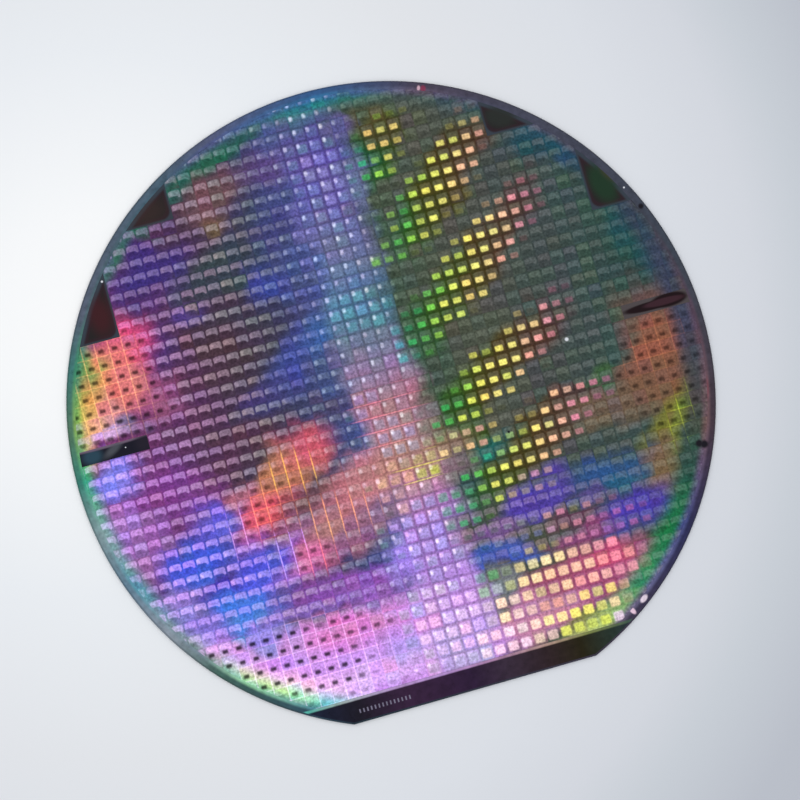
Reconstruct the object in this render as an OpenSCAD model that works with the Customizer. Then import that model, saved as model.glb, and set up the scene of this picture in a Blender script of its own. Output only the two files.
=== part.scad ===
// Patterned silicon wafer, 150 mm, with a primary flat.
//
// One solid: a single-crystal disc with a bevelled and rounded edge, and the
// thin device film on its front face. The film is printed in reticle fields,
// each a block of dies, with a scribe street between neighbouring fields. The
// fields set where the film ends at the flat, which corner fields were left
// clear, and where one die row was left out at either side.
//
// The disc lies front face up. The origin is the centre of its back face,
// +Z is the front face's normal, and the primary flat faces -Y.

/* [Silicon disc] */
// Diameter of the disc
wafer_d = 150; // [125:0.5:200]
// Thickness of the silicon, without the device film
wafer_t = 0.675; // [0.5:0.005:0.9]
// Length of the primary flat, from corner to corner
flat_length = 57.5; // [30:0.5:75]

/* [Edge profile] */
// Width of the edge bevel, measured in from the rim
bevel_w = 0.4; // [0.3:0.01:0.5]
// Slope of the edge bevel below the face, in degrees
bevel_angle = 22; // [11:1:26]
// Radius that blends each bevel into the upright land of the rim
nose_r = 0.12; // [0.08:0.01:0.14]

/* [Device film] */
// Height of the device film above the silicon
film_t = 0.01; // [0.005:0.001:0.03]
// Width of the film-free ring inside the rim
ring_w = 2; // [1:0.1:6]

/* [Die grid] */
// Die pitch along the flat
die_x = 3.16; // [2:0.01:12]
// Die pitch across the flat
die_y = 3.35; // [2:0.01:12]
// Die columns in a reticle field
field_cols = 6; // [1:1:12]
// Die rows in a reticle field
field_rows = 7; // [1:1:12]
// Distance of the row boundary nearest to the disc's centre, measured from it towards +Y
grid_y = 6.85; // [-10:0.05:10]
// Width of a scribe street
street_w = 0.16; // [0.06:0.01:0.3]
// Depth of a scribe street below the top of the film
street_depth = 0.006; // [0.002:0.001:0.01]

/* [Clear areas] */
// Column and row of the outermost corner field left clear, counted outwards and upwards from the centre
side_field = [3, 1];
// Column and row of the corner field left clear above it
top_field = [2, 2];
// Field columns between the disc's centre line and the left-out die row at either side
row_gap_cols = 3; // [1:1:4]

/* [Hidden] */
$fn = 180;

wafer_r = wafer_d / 2;
flat_y = sqrt(wafer_r * wafer_r - flat_length * flat_length / 4);
film_r = wafer_r - ring_w;
top_z = wafer_t + film_t;
field_w = field_cols * die_x;
field_h = field_rows * die_y;
// Whole field rows that fit between the row boundary and the flat
rows_below = floor((grid_y + flat_y - ring_w) / field_h);
film_bottom = grid_y - rows_below * field_h;

// Depth of the rounded shoulder's centre below the face. It puts the
// shoulder tangent to the bevel, which starts bevel_w in from the rim.
shoulder_drop = (nose_r * (1 - sin(bevel_angle)) + bevel_w * sin(bevel_angle)) / cos(bevel_angle);
// Cutting solids pass the faces they cut by this much
over = 1;

// Section of the disc's edge for a rim at x = reach, filled back to
// x = -behind. Two bevels close in on two rounded shoulders, with an upright
// land between them.
module edge_section(reach, behind = 0) {
    low_z = shoulder_drop;
    high_z = wafer_t - shoulder_drop;
    centre_x = reach - nose_r;
    tangent_x = centre_x + nose_r * sin(bevel_angle);
    tangent_up = nose_r * cos(bevel_angle);
    polygon([
        [-behind, 0],
        [reach - bevel_w, 0],
        [tangent_x, low_z - tangent_up],
        [centre_x, low_z],
        [centre_x, high_z],
        [tangent_x, high_z + tangent_up],
        [reach - bevel_w, wafer_t],
        [-behind, wafer_t]
    ]);
    for (z = [low_z, high_z])
        translate([centre_x, z]) circle(r = nose_r);
    translate([centre_x, low_z]) square([nose_r, high_z - low_z]);
}

// The bare disc: a turned blank, with the same edge ground along the flat
module silicon_disc() {
    intersection() {
        rotate_extrude() edge_section(wafer_r);
        rotate([0, 0, -90]) rotate([90, 0, 0])
            linear_extrude(height = wafer_d + 2 * over, center = true)
                edge_section(flat_y, wafer_r + over);
    }
}

// The printed area: round, and cut off straight above the flat
module film_area() {
    intersection() {
        translate([0, 0, wafer_t]) cylinder(r = film_r, h = film_t);
        translate([-wafer_r, film_bottom, wafer_t])
            cube([wafer_d, wafer_r - film_bottom, film_t]);
    }
}

// Scribe streets between the reticle fields
module field_streets() {
    side_cols = ceil(film_r / field_w);
    rows_above = ceil((film_r - grid_y) / field_h);
    floor_z = top_z - street_depth;
    for (col = [-side_cols : side_cols])
        translate([col * field_w - street_w / 2, -wafer_r, floor_z])
            cube([street_w, wafer_d, street_depth + over]);
    for (row = [1 - rows_below : rows_above])
        translate([-wafer_r, grid_y + row * field_h - street_w / 2, floor_z])
            cube([wafer_d, street_w, street_depth + over]);
}

// A reticle field left clear, in its place right of the centre line
module clear_field(place) {
    translate([place[0] * field_w, grid_y + place[1] * field_h, wafer_t])
        cube([field_w, field_h, film_t + over]);
}

// The die row left out beside the last full field, out to the rim
module clear_die_row() {
    translate([row_gap_cols * field_w, grid_y - die_y, wafer_t])
        cube([wafer_r, die_y, film_t + over]);
}

// The device film with its streets, open to the silicon where it was left out
module device_film() {
    difference() {
        film_area();
        field_streets();
        for (side = [0, 1]) mirror([side, 0, 0]) {
            clear_field(side_field);
            clear_field(top_field);
            clear_die_row();
        }
    }
}

module wafer() {
    color([0.42, 0.36, 0.55]) {
        silicon_disc();
        device_film();
    }
}

wafer();
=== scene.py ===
import math

import bmesh
import bpy
from mathutils import Euler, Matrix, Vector


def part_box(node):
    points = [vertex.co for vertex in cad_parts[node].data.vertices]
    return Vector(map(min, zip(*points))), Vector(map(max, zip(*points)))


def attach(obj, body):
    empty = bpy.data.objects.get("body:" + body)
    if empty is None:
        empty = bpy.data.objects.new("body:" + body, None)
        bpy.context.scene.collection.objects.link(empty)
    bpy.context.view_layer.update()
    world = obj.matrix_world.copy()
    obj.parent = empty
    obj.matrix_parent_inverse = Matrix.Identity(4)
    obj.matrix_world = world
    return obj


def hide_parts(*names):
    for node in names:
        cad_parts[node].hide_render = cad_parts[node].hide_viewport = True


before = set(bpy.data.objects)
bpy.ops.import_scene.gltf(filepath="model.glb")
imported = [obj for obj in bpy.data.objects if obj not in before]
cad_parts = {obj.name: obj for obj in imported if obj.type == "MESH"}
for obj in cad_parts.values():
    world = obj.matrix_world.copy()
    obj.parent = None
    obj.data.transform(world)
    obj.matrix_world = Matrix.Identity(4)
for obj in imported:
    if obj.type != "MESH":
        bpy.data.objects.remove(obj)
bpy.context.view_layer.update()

# Sizes in millimetres unless a name says otherwise. MM turns them to metres.
MM = 0.001

# ---- The wafer's own sizes ----
# The box comes from the frame. The other sizes repeat those of part.scad.

LOW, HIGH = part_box("wafer")
WAFER_R = HIGH.y / MM
FLAT_Y = -LOW.y / MM
FILM_TOP = HIGH.z / MM
FILM_T = 0.010
WAFER_T = FILM_TOP - FILM_T
STREET_DEPTH = 0.006
RING_W = 2.0
FILM_R = WAFER_R - RING_W

BEVEL_W = 0.4
BEVEL_ANGLE = math.radians(22)
BEVEL_DROP = BEVEL_W * math.tan(BEVEL_ANGLE)
NOSE_R = 0.12
# How far from their corner the bevel and the upright land run into the rounded nose
SHOULDER = NOSE_R * math.tan((math.pi / 2 - BEVEL_ANGLE) / 2)

DIE_X = 3.16
DIE_Y = 3.35
STREET_W = 0.16
FIELD_COLS = 6
FIELD_ROWS = 7
FIELD_W = FIELD_COLS * DIE_X
FIELD_H = FIELD_ROWS * DIE_Y
GRID_Y = 6.85
FIELD_ROWS_BELOW = 3
FILM_BOTTOM = GRID_Y - FIELD_ROWS_BELOW * FIELD_H
# Column and row of the corner fields left clear, counted outwards and upwards from the centre
SIDE_FIELD = (3, 1)
TOP_FIELD = (2, 2)
# Field columns between the centre line and the left-out die row at either side
ROW_GAP_COLS = 3

# Edges of the mesh that turn less than this are shaded smooth
SHARPEST_SMOOTH = math.radians(18)
# Straight pieces round the full rim, and round each shoulder of its edge
RIM_STEPS = 360
NOSE_STEPS = 4
# Points of the mesh this near to a cut are taken to lie on it
CUT_SNAP = 0.001
# Width of the sloping side walls of the film and of its dies
WALL_W = 0.01
# A die site cut smaller than this by the rim, in square millimetres, stays flat
SMALLEST_DIE = 1.5
# On the map, the edge spreads outwards this many times its height, and the back is drawn smaller
UNROLL = 4
BACK_SCALE = 0.165
BACK_CORNER = Vector((0.086, 0.086))

# ---- What is printed on a die, and the highlights painted on it ----
# Rounded boxes as shares of a die's width and height, from its lower left corner:
# (left, right, low, high, corner radius, softness).

# The upper part, and the well that hollows it from below
HEAD = (0.06, 0.93, 0.36, 0.92, 0.16, 0.06)
WELL = (-0.04, 0.82, 0.0, 0.52, 0.25, 0.05)
# Its cut corner at the top left: how steep the cut is, and at what heights at the die's left
# side the upper part is full and gone
HEAD_CUT_SLOPE = 0.5
HEAD_FULL = 0.76
HEAD_GONE = 0.84
# The mark or bright cell at its centre, the cell lit by painted diffraction light, and the
# small painted glint at its upper left
MARK = (0.18, 0.62, 0.20, 0.48, 0.12, 0.10)
CELL = (0.16, 0.74, 0.18, 0.56, 0.09, 0.07)
WIDE_CELL = (0.12, 0.84, 0.14, 0.76, 0.12, 0.08)
GLINT_SPOT = (0.08, 0.34, 0.54, 0.86, 0.12, 0.10)
# The least share of its light that a die gives back, and how much more others do
DIE_LIGHT = 0.92
DIE_LIGHT_MORE = 0.22
# The printed lines are a few micrometres wide. Their glints are drawn as wide as this, so that
# they show, and are this bright at their dullest and brightest
GLINT_W = 0.588
GLINT_LIGHT = (0.68, 1.36)
# What the streets leave of a die, and what dark streets leave of it
DIE_FACE = (0.05, 0.95, 0.05, 0.95, 0.06, 0.04)
SMALL_DIE_FACE = (0.09, 0.91, 0.09, 0.91, 0.10, 0.07)
# How far from the die's middle a bright line along a street starts, and where it is full
LINE_FROM = 0.42
LINE_FULL = 0.49
LINE_LIGHT = 0.7
# The raised parts stand this many metres proud
RAISED_M = 3e-6

# ---- Colours of the device film ----
# The film's interference and diffraction colours change smoothly over the
# wafer. They are partly its own colours and partly painted diffraction light. They are
# kept as ramps along a direction and as soft oval patches:
# (x, y, half width, half height, turn in degrees, core, strength, colour).

# Ground of the film from left to right, apart from the middle columns
GROUND_ACROSS = [
    (-75, "#6c3a74"), (-62, "#6a3468"), (-50, "#583058"), (-40, "#483048"), (-30, "#3e3446"),
    (-21, "#383a58"), (-12, "#404a80"), (-6, "#505c8c"), (7, "#3a4c40"), (15, "#424a3e"),
    (24, "#464a40"), (34, "#3e4642"), (44, "#3a4644"), (54, "#344844"), (64, "#24423c"),
    (70, "#264458"), (75, "#303858"),
]
GROUND_PATCHES = [
    # Upper left
    (-27, 66, 18, 4, 18, 0.3, 0.9, "#205c48"),
    (-36, 62, 8, 4, 25, 0.3, 0.8, "#1e5a50"),
    (-50, 51, 13, 4, 35, 0.3, 0.9, "#285c50"),
    (-27, 58, 13, 8, 20, 0.2, 0.9, "#6a4a50"),
    (-29, 51, 6, 5, 0, 0.2, 0.7, "#705840"),
    (-14, 61, 8, 6, 0, 0.3, 0.8, "#564074"),
    (-47, 44, 15, 7, 20, 0.3, 1.0, "#3c2c70"),
    (-44, 38, 9, 5, 0, 0.2, 0.7, "#4c3070"),
    (-30, 40, 18, 9, 10, 0.3, 0.9, "#34404c"),
    (-14, 47, 7, 13, -25, 0.2, 0.9, "#3c4074"),
    (-21, 34, 9, 7, 30, 0.2, 0.8, "#38449c"),
    (-36, 20, 16, 9, 0, 0.2, 0.8, "#44303c"),
    (-39, 31, 6, 5, 0, 0.3, 0.8, "#4c3c80"),
    (-50, 26, 10, 10, 0, 0.2, 0.7, "#483074"),
    (-20, 13, 8, 11, -40, 0.1, 0.8, "#384894"),
    (-12.5, 18, 6.5, 9, -15, 0.1, 0.9, "#385c9c"),
    (-27, 8, 12, 5, 30, 0.2, 0.7, "#403a78"),
    (-13, 2, 8, 6, 0, 0.2, 0.7, "#484060"),
    (-12, 10, 6, 5, 0, 0.3, 0.8, "#404878"),
    # Left rim above the clear row
    (-56, 29, 11, 10, -20, 0.2, 1.0, "#cc4874"),
    (-55, 17, 9, 9, 0, 0.2, 0.8, "#a85880"),
    (-62, 21, 14, 11, 55, 0.4, 1.0, "#d47470"),
    (-68, 18, 7, 14, -20, 0.3, 1.0, "#d89458"),
    (-68, 25, 5, 6, 0, 0.2, 0.9, "#6c9450"),
    (-65, 12, 8, 6, 20, 0.3, 0.9, "#dc9898"),
    (-70, 12, 5, 9, -10, 0.3, 0.9, "#e0a868"),
    (-60, 10, 5, 4, 0, 0.2, 0.8, "#6c6c90"),
    (-65, 8.5, 7, 2.4, 0, 0.2, 0.9, "#b89cd0"),
    (-70, 8.8, 3, 2, 0, 0.2, 0.9, "#c0b070"),
    (-73, 11, 3, 8, -8, 0.3, 0.8, "#a0b860"),
    (-64, 17, 4, 5, 0, 0.3, 0.7, "#cc7c80"),
    # Left, below the clear row
    (-66, -1, 9, 7, -20, 0.4, 1.0, "#7c7ce8"),
    (-56, -9, 20, 12, 0, 0.3, 0.9, "#763a82"),
    (-67, -12, 6, 8, 20, 0.3, 0.8, "#a070c0"),
    (-63, -18, 9, 10, 0, 0.3, 0.8, "#9060a8"),
    (-36, -1, 16, 6, 10, 0.2, 0.6, "#543048"),
    (-54, -24, 13, 8, 15, 0.2, 1.0, "#4058cc"),
    (-47, -16, 8, 7, 0, 0.2, 0.9, "#5c5cd0"),
    (-61, -33, 11, 6, 30, 0.3, 0.9, "#8c80d4"),
    (-48, -31, 12, 4, -8, 0.3, 1.0, "#4030ac"),
    (-42, -25, 9, 7, 0, 0.3, 1.0, "#5450bc"),
    (-33, -27, 4, 4, 0, 0.3, 0.8, "#a070d0"),
    (-39, -31, 11, 7, 10, 0.2, 1.0, "#4c54d0"),
    (-34, -35, 8, 4, 0, 0.2, 0.8, "#8468d8"),
    (-45, -37, 14, 7, -25, 0.3, 1.0, "#4474dc"),
    (-44, -42, 10, 5, -20, 0.2, 0.9, "#5088d8"),
    (-56, -40, 12, 8, -40, 0.3, 0.9, "#8474d0"),
    (-36, -38, 6, 4, 0, 0.3, 0.8, "#5c509c"),
    # Warm patches left of the middle
    (-36, -17, 12, 9, 35, 0.3, 1.0, "#cc5468"),
    (-29, -10, 11, 8, 42, 0.3, 1.0, "#b07458"),
    (-40.5, -11, 6.5, 4, 10, 0.3, 0.8, "#b06880"),
    (-23, -5, 9, 8, 20, 0.2, 1.0, "#c45468"),
    (-23, -16, 12, 3.4, 28, 0.2, 0.9, "#6c4850"),
    (-27, -31, 10.5, 7, 25, 0.2, 1.0, "#c86498"),
    (-21, -23, 13, 7, 25, 0.2, 1.0, "#ac7078"),
    (-30, -24, 8, 4, 30, 0.2, 0.8, "#985c84"),
    (-12, -15, 13, 8, 20, 0.3, 1.0, "#b4707c"),
    (-13, -25, 9, 5, 20, 0.3, 0.7, "#986880"),
    (-25, -37, 10, 2.5, 8, 0.2, 0.8, "#704878"),
    (-22, -40, 22, 5, 4, 0.3, 1.0, "#844ca8"),
    (-8.5, -36, 7, 9, 0, 0.4, 0.9, "#9c84e0"),
    (-19, -30, 7, 5, 15, 0.3, 0.9, "#90587c"),
    # Lower left
    (-28, -57, 40, 12.5, 0, 0.7, 1.0, "#c48ce0"),
    (-25, -60, 24, 6, 0, 0.3, 0.8, "#dcb0f4"),
    (-17, -43.5, 10, 3, 0, 0.4, 0.9, "#8c5cb0"),
    (-12, -47.5, 12, 4, 0, 0.5, 1.0, "#c488dc"),
    (-7, -46, 6, 4, 0, 0.4, 0.8, "#c898ec"),
    (-33, -43.5, 14, 2.5, 0, 0.4, 0.9, "#7c60b8"),
    (-42, -46, 6, 4, 0, 0.3, 0.8, "#8c84e0"),
    (-24, -49, 16, 5, 0, 0.2, 1.0, "#d074bc"),
    (-49, -48, 11, 6, -42, 0.2, 0.8, "#d89cf4"),
    (-38, -58, 14, 5, -15, 0.3, 0.9, "#ecb8ec"),
    (-12, -56, 8, 4, 0, 0.2, 0.6, "#a0a0e4"),
    # Right
    (46, 50, 9, 7, -20, 0.3, 0.9, "#1c4450"),
    (55, 45, 5, 6, -40, 0.3, 0.8, "#2c4474"),
    (64, 22, 6, 14, 15, 0.3, 0.9, "#1c4c50"),
    (62, 3, 11, 11, 0, 0.3, 0.9, "#644c44"),
    (61, -10, 14, 10, 25, 0.3, 1.0, "#785040"),
    (63, -3, 7, 9, -5, 0.2, 0.8, "#8c5040"),
    (47, -14, 15, 6, 10, 0.3, 0.9, "#685444"),
    (50, -7, 5, 3, 20, 0.2, 0.9, "#3c5c38"),
    (60, -20, 11, 7, 30, 0.4, 1.0, "#6c6830"),
    (63, -22, 4, 10, -20, 0.3, 0.9, "#6c7c30"),
    (56, -30, 7, 9, -20, 0.4, 1.0, "#6c5c44"),
    (19, -16, 9, 5, 15, 0.3, 1.0, "#245c58"),
    (10, -22, 6, 6, 0, 0.2, 0.7, "#384c60"),
    (43, -28, 15, 6, 5, 0.3, 1.0, "#2c4c80"),
    (26, -30, 12, 6, 15, 0.4, 1.0, "#4c3c98"),
    (47, -31, 7, 4, 0, 0.3, 0.8, "#205c7c"),
    (48, -39, 14, 8, 10, 0.2, 1.0, "#44389c"),
    (33, -37, 9, 4, 0, 0.3, 0.9, "#5c3850"),
    (13, -42, 16, 4, 0, 0.4, 1.0, "#4054a8"),
    (35, -42, 11, 3.4, 8, 0.3, 0.9, "#84406c"),
    (15, -36, 9, 4, 5, 0.3, 0.8, "#745090"),
    (7, -36, 3.6, 4, 0, 0.3, 0.8, "#907498"),
    (38, -33, 6, 3, 0, 0.3, 0.8, "#544888"),
    (13, -41, 8, 3, 0, 0.2, 0.6, "#3c5894"),
    (13, -49, 10, 6, 0, 0.3, 0.9, "#707478"),
    (8, -14, 11, 5, 10, 0.2, 0.9, "#907060"),
    (8, -20, 9, 5, 10, 0.2, 0.8, "#806a6c"),
    (8, -8, 4, 6, 0, 0.3, 0.8, "#7c6c6c"),
    (6, 50, 3.6, 8, 0, 0.4, 0.9, "#606890"),
    (5, 63, 4, 5, 0, 0.3, 0.8, "#605890"),
    (13, 62, 8, 8, 40, 0.3, 0.9, "#504828"),
    (33, -52, 21, 9, 8, 0.5, 1.0, "#984c6c"),
    (38.5, -49, 8, 5, 15, 0.3, 0.8, "#b84870"),
    (18, -57, 16, 6, 0, 0.4, 1.0, "#b47898"),
    (8, -60, 7, 5, 0, 0.4, 0.9, "#b888cc"),
    (31, -62, 13, 3, 0, 0.4, 0.9, "#7c8048"),
]

# Painted highlight that a die's upper part adds to the ground, where its lines scatter more
# light
HEAD_HIGHLIGHT_ACROSS = [
    (-70, "#8c6c9c"), (-60, "#886898"), (-50, "#846888"), (-40, "#786474"), (-30, "#686268"),
    (-20, "#4a4e50"), (-12, "#383c40"), (-6, "#242424"), (4, "#1c1c1c"), (9, "#303834"),
    (20, "#343630"), (35, "#343634"), (50, "#3c3e3c"), (60, "#303834"), (68, "#1c2020"),
]
HEAD_HIGHLIGHT_PATCHES = [
    (-21, 12, 9, 9, 20, 0.4, 0.8, "#343868"),
    (-13, 30, 8, 24, -20, 0.4, 0.8, "#384068"),
    (-62, 20, 15, 17, 0, 0.6, 1.0, "#181010"),
    (-48, 46, 22, 18, 20, 0.4, 0.9, "#5c5068"),
    (-32, -13, 18, 7, 38, 0.4, 0.9, "#241c24"),
    (-24, -26, 14, 8, 30, 0.4, 0.9, "#2c2428"),
    (-58, 2, 18, 12, 0, 0.3, 0.6, "#907098"),
    (-53, -26, 16, 9, 0, 0.3, 0.8, "#9478ac"),
    (-69, -24, 5, 14, 20, 0.3, 0.7, "#40484c"),
    (-60, -42, 6, 6, 0, 0.3, 0.7, "#504c5c"),
    (18, -35, 36, 11, 0, 0.3, 0.9, "#60545c"),
    (-19, -38, 14, 7, 0, 0.3, 0.8, "#504c64"),
    (-32, -54, 30, 10, -8, 0.6, 0.95, "#1c141c"),
    (27, -54, 26, 12, 0, 0.5, 0.9, "#443c44"),
    (-27, 66, 20, 5, 18, 0.3, 0.8, "#384448"),
    (62, -10, 14, 20, 0, 0.4, 0.9, "#1c1410"),
]

# Painted glint: the small bright spot at a die's upper left, strongest in the middle columns
GLINT_SPOT_ACROSS = [
    (-66, "#18101a"), (-44, "#3c3038"), (-32, "#504448"), (-22, "#3c3a44"), (-13, "#5c5c68"),
    (-8, "#8c889c"), (2, "#94909c"), (7, "#384438"), (12, "#101410"), (60, "#000000"),
]
GLINT_SPOT_PATCHES = [
    (-2, -28, 12, 16, 0, 0.4, 1.0, "#b08ca8"),
    (-62, 20, 15, 17, 0, 0.5, 1.0, "#181010"),
    (-50, -26, 20, 12, 0, 0.3, 0.7, "#7c5878"),
    (-30, -54, 30, 9, 0, 0.5, 0.9, "#201820"),
]

# The dark mark at a die's centre: its colour, how strong it is, and where it is weaker or
# stronger. A patch ends with the strength there
MARK_COLOUR = "#0a0608"
MARK_SHADE = 0.2
MARK_SHADE_PATCHES = [
    (40, 20, 34, 70, 0, 0.6, 0.1),
    (-63, 20, 16, 17, 0, 0.7, 0.8),
    (-36, -15, 14, 7, 38, 0.4, 0.65),
    (-27, -31, 9, 5, 20, 0.4, 0.65),
    (-42, -52, 26, 9, -12, 0.6, 0.9),
    (-24, -49, 12, 5, 0, 0.4, 0.75),
    (62, -11, 13, 18, -8, 0.6, 0.65),
]

# Colour of the bright cells right of the middle, painted diffraction light, from left to right
CELL_GLOW_ACROSS = [
    (5, "#38a880"), (10, "#40b85c"), (14, "#8ccc54"), (18, "#dce868"), (25, "#f0e878"),
    (31, "#f4dc8c"), (36, "#f0b8a0"), (42, "#dc8ca0"), (48, "#b06c88"), (56, "#685464"),
]

# The slanting bands of bright cells, where diffraction light is painted in: ovals without a
# colour of their own
BANDS = [
    (12.8, 58.2, 11.4, 6.2, 47, 0.5, 1.0),
    (23.6, 46.4, 24.4, 7.6, 43, 0.5, 1.0),
    (26.5, 25.6, 30, 7.8, 38, 0.5, 1.0),
    (26.0, 1.0, 27, 7.2, 31, 0.5, 1.0),
    (12.0, -13.0, 11, 3.6, 5, 0.6, 1.0),
    (25.5, -19.5, 26, 6.8, 23, 0.5, 1.0),
    (40.0, -10.5, 11, 3.6, 5, 0.6, 0.9),
]
# How many millimetres the cells' colour is ahead at a band's lower edge
BAND_TILT = 7.0

# The cells grow wide between these heights, towards the flat
WIDE_FROM = -42.0
WIDE_FULL = -45.0
# How bright the dullest and the brightest cell of painted diffraction light are, and the same
# for the small painted glints
CELL_LIGHT = (0.75, 1.15)
GLINT_SPOT_LIGHT = (0.5, 1.6)

# Where cells are bright with painted diffraction light outside the slanting bands
CELL_GLOW_PATCHES = [
    (-2, 22, 8, 7, 0, 0.3, 0.6, "#6cb0cc"),
    (5, 12, 4, 6.5, 0, 0.3, 0.7, "#50a8b0"),
    (-2, 53, 8, 15, 0, 0.4, 0.7, "#8480c4"),
    (-2, -8, 9, 8, 0, 0.3, 0.5, "#8890b8"),
    (-3, -18, 10, 4, 0, 0.4, 0.7, "#dcb090"),
    (3, -17, 5, 3, 0, 0.4, 0.8, "#c0c048"),
    (-2.5, -31.5, 11, 10, 0, 0.4, 0.8, "#bca4ec"),
    (-6, -23, 5, 3, 0, 0.4, 0.7, "#e4a8b4"),
    (-7, 1, 4, 4, 0, 0.4, 0.6, "#a080c0"),
    (7.5, 33, 3, 5, 0, 0.4, 0.8, "#70a858"),
    (10, 40, 3, 4, 0, 0.4, 0.7, "#a0b850"),
    (9, -29, 6, 8, 0, 0.5, 0.9, "#50a070"),
    (19, -17, 8, 4, 10, 0.3, 0.9, "#309878"),
    (8, -14, 7, 4, 0, 0.4, 1.0, "#e4c490"),
    (16.5, -12.5, 7, 4, 0, 0.4, 1.0, "#e0a098"),
    (13.5, 59.5, 7.5, 6.5, 40, 0.4, 0.9, "#d8c070"),
    (25.5, -26.3, 8, 4, 10, 0.3, 0.8, "#c090b0"),
    (33, -37, 12, 4, 0, 0.4, 0.9, "#d088a0"),
    (33, -42, 9, 4, 5, 0.4, 0.9, "#e088a0"),
    (42, -41, 12, 5, 5, 0.3, 0.8, "#a064b0"),
    (20, -38, 12, 5, 0, 0.3, 0.6, "#7c80b0"),
    (10, -46.5, 6, 2.5, 0, 0.4, 1.0, "#60a888"),
    (10, -50, 8, 5, 0, 0.3, 1.0, "#b8b8bc"),
    (23.5, -47, 11, 6, 0, 0.5, 1.0, "#fce0ac"),
    (33, -50, 15, 8, 0, 0.5, 1.0, "#fcc8b0"),
    (39.5, -48, 7, 7, 20, 0.4, 1.0, "#f090a4"),
    (12, -54, 10, 4.5, 0, 0.5, 1.0, "#fcdcc4"),
    (26, -55, 13, 4, 5, 0.4, 1.0, "#f4a4a0"),
    (9, -60, 12, 5, 0, 0.5, 1.0, "#fcd4ec"),
    (20, -60, 6.5, 5, 0, 0.4, 1.0, "#fcd4cc"),
    (24, -59, 7, 4, 5, 0.5, 1.0, "#fce4ac"),
    (33, -58, 9, 4, 8, 0.5, 1.0, "#f0e878"),
    (29.5, -62, 8, 3, 0, 0.5, 1.0, "#d0e068"),
    (36.5, -61, 3, 2, 0, 0.4, 0.8, "#f0d4e4"),
    (-2, -52, 12, 12, 0, 0.5, 0.9, "#ecc0f8"),
]

# Ground inside the slanting bright bands right of the middle
BAND_GROUND_ACROSS = [
    (7, "#205c3a"), (13, "#305622"), (20, "#444a1a"), (28, "#4c4020"), (36, "#523a30"),
    (44, "#4c383c"), (58, "#404040"),
]

# The middle columns, lighter with a broad band of painted light, from the flat upwards
COLUMN_UPWARDS = [
    (-62, "#bcace8"), (-50, "#cc98e4"), (-40, "#ac80d4"), (-30, "#a07cc4"), (-22, "#b480a8"),
    (-15, "#b88878"), (-8, "#b48090"), (0, "#ac7484"), (8, "#8c789c"), (17, "#54788c"),
    (25, "#50789c"), (34, "#687098"), (46, "#645ea0"), (56, "#6458a8"), (64, "#545090"),
    (70, "#3c6878"),
]
# Where the middle columns start and are full at their left, and are full and end at their right
COLUMN_LEFT = -11.5
COLUMN_LEFT_FULL = -5.5
COLUMN_RIGHT_FULL = 2.6
COLUMN_RIGHT = 8.6
# Distances from the centre where they are no longer full, and where they end
COLUMN_INNER = 65.5
COLUMN_OUTER = 69.5
# The columns are wider towards the flat: how far their right side leans
COLUMN_LEAN = 0.035

# Light of the upright streets where they catch the lamp: fine orange, yellow and pink lines
UPRIGHT_LINE_PATCHES = [
    (-62, 20, 12, 17, -10, 0.5, 0.5, "#ffb878"),
    (-36, -17, 10, 7, 30, 0.4, 0.9, "#f08868"),
    (-28, -11, 8, 7, 30, 0.4, 1.0, "#f0b83c"),
    (-20, -22, 13, 7, 15, 0.4, 1.0, "#f0a050"),
    (-27, -32, 8, 5, 20, 0.4, 0.9, "#f07060"),
    (-43, -19, 5, 8, 0, 0.4, 0.8, "#e0a8f0"),
    (-33, -29, 6, 7, 0, 0.4, 0.9, "#d0a8ff"),
    (62, -5, 10, 9, 0, 0.3, 0.4, "#b87450"),
    (63, -20, 6, 9, -15, 0.2, 0.8, "#98a430"),
    (-34, -54, 26, 12, 0, 0.5, 0.5, "#e8c0f8"),
]
# The same for the level streets
LEVEL_LINE_PATCHES = [
    (-62, 20, 12, 17, -10, 0.5, 0.3, "#ffb878"),
    (-34, -16, 12, 7, 35, 0.4, 0.5, "#e87850"),
    (-2.5, -4, 11.5, 10, 0, 0.4, 0.9, "#d87480"),
    (1, -17, 10, 4, 0, 0.4, 1.0, "#c8c038"),
    (62, -5, 10, 9, 0, 0.3, 0.25, "#c87850"),
    (63, -20, 6, 9, -15, 0.2, 0.6, "#98a430"),
    (-34, -54, 26, 12, 0, 0.5, 0.4, "#e8c0f8"),
]

# How much of the ground's light the streets give back, and in the bands and the middle
STREET_SHADE = 0.97
DARK_STREET_SHADE = 0.66

# Colours round the film's edge, by direction in degrees
RIM_TURN = [
    (-180, "#28a884"), (-166, "#7ca8ac"), (-159, "#449ca4"), (-148, "#7080a4"), (-141, "#c8b4e4"),
    (-135, "#ccd8b4"), (-126, "#b0f084"), (-118, "#60d0d4"), (-66, "#c0d078"), (-53, "#24885c"),
    (-40, "#14703c"), (-30, "#204c40"), (-16, "#44443c"), (0, "#3a3c50"), (32, "#283c50"),
    (42, "#1c4858"), (74, "#40504c"), (90, "#0c8480"), (100, "#346468"), (128, "#245440"),
    (138, "#20805c"), (149, "#205c50"), (158, "#34905c"), (168, "#80b43c"), (180, "#28a884"),
]
# The same for the film-free ring, where it starts, with a painted highlight from -170 to -150
# degrees
RING_TURN = [
    (-180, "#389c80"), (-170, "#829ca0"), (-159, "#5490a4"), (-150, "#8094a0"), (-142, "#6c7c88"),
    (-132, "#90cca0"), (-119, "#447c94"), (-112, "#243c50"), (-62, "#645868"), (-50, "#5a5c84"),
    (-38, "#404778"), (-20, "#685054"), (0, "#50404f"), (20, "#3c404c"), (60, "#444558"),
    (70, "#5a4e62"), (88, "#306894"), (110, "#4c5480"), (121, "#405868"), (150, "#4a5e66"),
    (160, "#3c8868"), (170, "#80a454"), (180, "#389c80"),
]
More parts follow.
